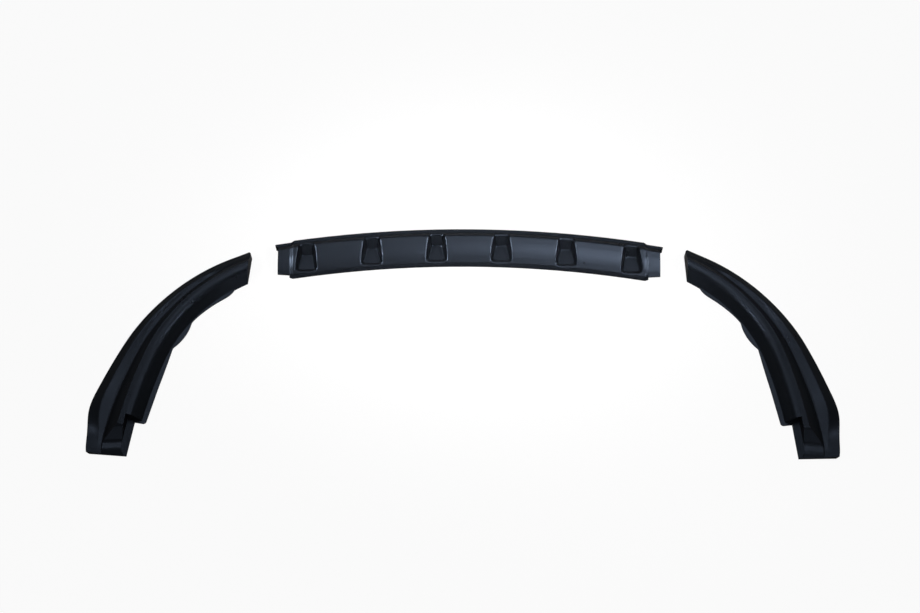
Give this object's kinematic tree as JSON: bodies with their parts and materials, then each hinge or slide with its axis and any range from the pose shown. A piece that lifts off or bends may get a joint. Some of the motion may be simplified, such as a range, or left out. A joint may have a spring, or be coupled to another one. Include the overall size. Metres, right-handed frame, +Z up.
{
  "type": "front splitter lip",
  "caption": "Front splitter lip in moulded sections: a bowed centre with a row of tapered pockets, and curved side corners with scalloped foot flanges and outer fins.",
  "frame": {"origin": "middle of the three laid-out sections' common box, on the floor they rest on", "axes": "+X to the right along the centre section, +Y forward towards its leading edge, +Z up out of the show side"},
  "size_m": [1.7002, 0.586, 0.0369],
  "materials": {
    "lip_plastic": "satin black, moulded"
  },
  "bodies": {
    "root": {"centre_section": "lip_plastic", "left_corner": "lip_plastic", "right_corner": "lip_plastic"}
  },
  "joints": []
}
